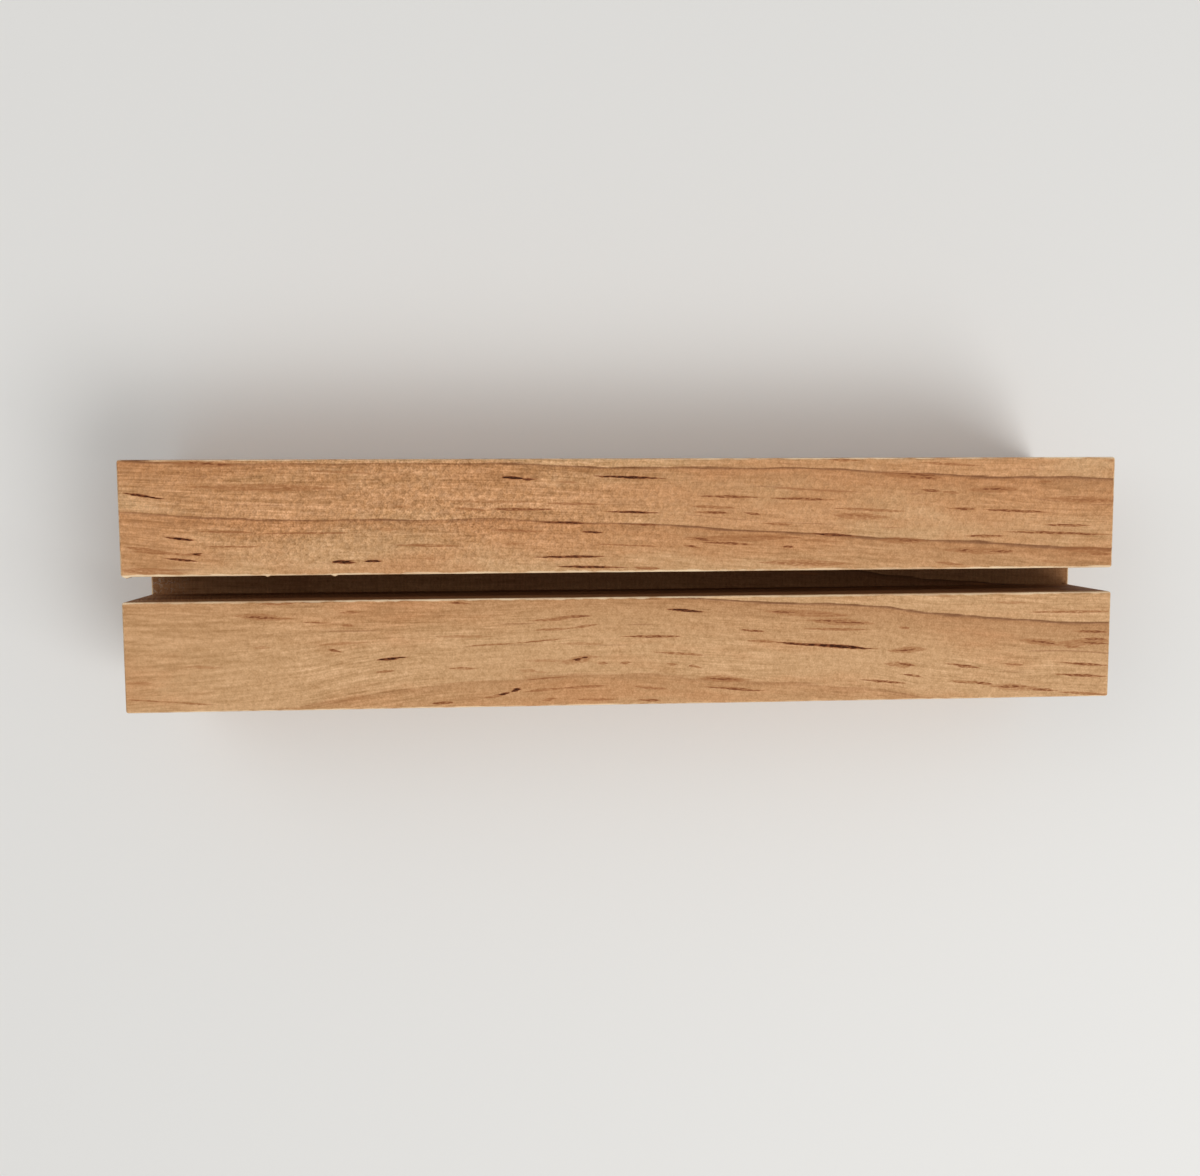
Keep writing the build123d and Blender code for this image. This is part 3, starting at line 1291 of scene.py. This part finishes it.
@dataclass
class FeltPads:
    """The four stick-on felt discs under the block's corners."""

    nodes: tuple[str, ...] = (
        "felt_pad_front_left", "felt_pad_front_right", "felt_pad_rear_left", "felt_pad_rear_right"
    )
    sides: int = 72
    sole_round: float = 0.3 * MM
    sole_steps: int = 3
    wall_least: float = 0.8 * MM
    wall_cuts: int = 4
    rim_slack: float = 1.1
    fray: float = 0.09 * MM
    fray_wave: float = 0.5 * MM
    flat_turn: float = 0.9

    def disc(self, node: str) -> bmesh.types.BMesh:
        """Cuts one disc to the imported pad's size, with a frayed rim.

        Args:
            node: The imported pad.

        Returns:
            The disc's shape.
        """
        low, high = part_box(node)
        middle = Vector(((low.x + high.x) / 2, (low.y + high.y) / 2, low.z))
        radius = (high.x - low.x) / 2
        mesh = bmesh.new()
        rim = bmesh.ops.create_circle(mesh, cap_ends=True, segments=self.sides, radius=radius)["verts"]
        bmesh.ops.translate(mesh, verts=rim, vec=middle)
        raise_faces(mesh, mesh.faces[:], (0, 0, high.z - low.z))
        sole = [edge for edge in mesh.edges if max(vert.co.z for vert in edge.verts) < low.z + TOUCH]
        round_off(mesh, sole, self.sole_round, self.sole_steps)
        rises = {edge: abs(edge.verts[0].co.z - edge.verts[1].co.z) for edge in mesh.edges}
        walls = [edge for edge, rise in rises.items() if rise > self.wall_least]
        bmesh.ops.subdivide_edges(mesh, edges=walls, cuts=self.wall_cuts)
        for vert in mesh.verts:
            away = Vector((vert.co.x - middle.x, vert.co.y - middle.y, 0))
            if away.length < radius - self.sole_round * self.rim_slack:
                continue
            pull = self.fray * (0.5 + 0.5 * noise.noise(vert.co / self.fray_wave))
            vert.co -= away.normalized() * pull
        return mesh

    def build(self, finish: FeltFinish) -> list[bpy.types.Object]:
        """Makes the four pads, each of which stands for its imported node.

        Args:
            finish: The felt.

        Returns:
            The finished pads.
        """
        felt = finish.material()
        pads = []
        for node in self.nodes:
            mesh = self.disc(node)
            for face in mesh.faces:
                face.smooth = abs(face.normal.z) < self.flat_turn
            pad = new_piece(node.replace("felt_pad", "felt_disc"), mesh, [felt])
            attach(pad, BODY)
            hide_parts(node)
            pads.append(pad)
        return pads


@dataclass(frozen=True)
class SoftLight:
    """One square soft box: where it hangs, how wide it is and how much light it gives, in watts."""

    name: str
    place: Triple
    width: float
    power: float


@dataclass
class Studio:
    """A pale floor, soft light and the camera of the photograph.

    Places and sizes are in metres, and the camera's lens and sensor in millimetres.
    """

    aim: Triple = (-5.3 * MM, -0.86 * MM, 31.5 * MM)
    camera_place: Triple = (-19.2 * MM, 15.8 * MM, 228.2 * MM)
    camera_right: Triple = (0.9975, -0.0049, 0.071)
    lens: float = 35.0
    sensor: float = 36.0
    clip_start: float = 0.005
    white: Colour = shade(255, 255, 255)
    floor_size: float = 3.0
    floor_colour: Colour = shade(226, 225, 222)
    floor_roughness: float = 0.8
    floor_fade: Ramp = (0.2, 0.7)
    sky: float = 0.5
    backdrop: float = 0.86
    lights: tuple[SoftLight, ...] = (
        SoftLight("key_light", (0.42, -0.36, 0.72), 0.5, 4.2),
        SoftLight("fill_light", (-0.55, 0.3, 0.6), 0.6, 1.3),
    )

    def shown_rays(self, graph: ShaderGraph) -> Socket:
        """Marks the rays that show the backdrop, and not those that light the block."""
        rays = graph.add("ShaderNodeLightPath", {}).outputs
        return graph.most(rays["Is Camera Ray"], rays["Is Glossy Ray"], rays["Is Transmission Ray"])

    def lay_floor(self) -> None:
        """Lays the floor that the pads stand on, which fades into the backdrop away from the block."""
        material, graph, shader = new_material("studio_floor")
        shader.inputs["Base Color"].default_value = self.floor_colour
        shader.inputs["Roughness"].default_value = self.floor_roughness
        away = graph.length(graph.add("ShaderNodeTexCoord", {}).outputs["Object"])
        faded = graph.times(graph.ramp(away, *self.floor_fade), self.shown_rays(graph))
        glow = graph.add("ShaderNodeEmission", {"Color": self.white, "Strength": self.backdrop})
        blended = graph.add("ShaderNodeMixShader", {0: faded, 1: shader.outputs[0], 2: glow.outputs[0]})
        graph.send(blended.outputs[0], graph.tree.nodes["Material Output"].inputs["Surface"])
        mesh = bmesh.new()
        bmesh.ops.create_grid(mesh, x_segments=1, y_segments=1, size=self.floor_size / 2)
        floor = new_piece("studio_floor", mesh, [material])

    def hang_lights(self) -> None:
        """Hangs the soft boxes round the block, and lights the room evenly."""
        for light in self.lights:
            lamp = bpy.data.lights.new(light.name, "AREA")
            lamp.shape = "SQUARE"
            lamp.size = light.width
            lamp.energy = light.power
            box = bpy.data.objects.new(light.name, lamp)
            box.location = light.place
            way = Vector(self.aim) - Vector(light.place)
            box.rotation_euler = way.to_track_quat("-Z", "Y").to_euler()
            bpy.context.scene.collection.objects.link(box)
        world = bpy.data.worlds.new("studio_world")
        world.use_nodes = True
        graph = ShaderGraph(world.node_tree)
        background = world.node_tree.nodes["Background"]
        background.inputs["Color"].default_value = self.white
        strength = graph.mix(self.shown_rays(graph), self.sky, self.backdrop)
        graph.send(strength, background.inputs["Strength"])
        bpy.context.scene.world = world

    def set_camera(self) -> None:
        """Puts the camera where the photograph was taken from."""
        data = bpy.data.cameras.new("photo_camera")
        data.lens = self.lens
        data.sensor_width = self.sensor
        data.clip_start = self.clip_start
        camera = bpy.data.objects.new("photo_camera", data)
        place = Vector(self.camera_place)
        back = (place - Vector(self.aim)).normalized()
        up = back.cross(Vector(self.camera_right)).normalized()
        turn = Matrix((up.cross(back), up, back)).transposed()
        camera.matrix_world = Matrix.Translation(place) @ turn.to_4x4()
        bpy.context.scene.collection.objects.link(camera)
        bpy.context.scene.camera = camera

    def build(self) -> None:
        """Sets up the floor, the light, the camera and the plain view of colours."""
        self.lay_floor()
        self.hang_lights()
        self.set_camera()
        bpy.context.scene.view_settings.view_transform = "Standard"


def main() -> None:
    """Builds the block, its pads and the studio, and reports each piece."""
    logging.basicConfig(level=logging.INFO, format="%(name)s: %(message)s")
    shape = BlockShape.from_frame()
    pieces = [SlottedBlock(shape).build(PineFinish(shape)), *FeltPads().build(FeltFinish())]
    for piece in pieces:
        LOG.info("%s rides on %s, %d faces", piece.name, BODY, len(piece.data.polygons))
    Studio().build()


if __name__ == "__main__":
    main()
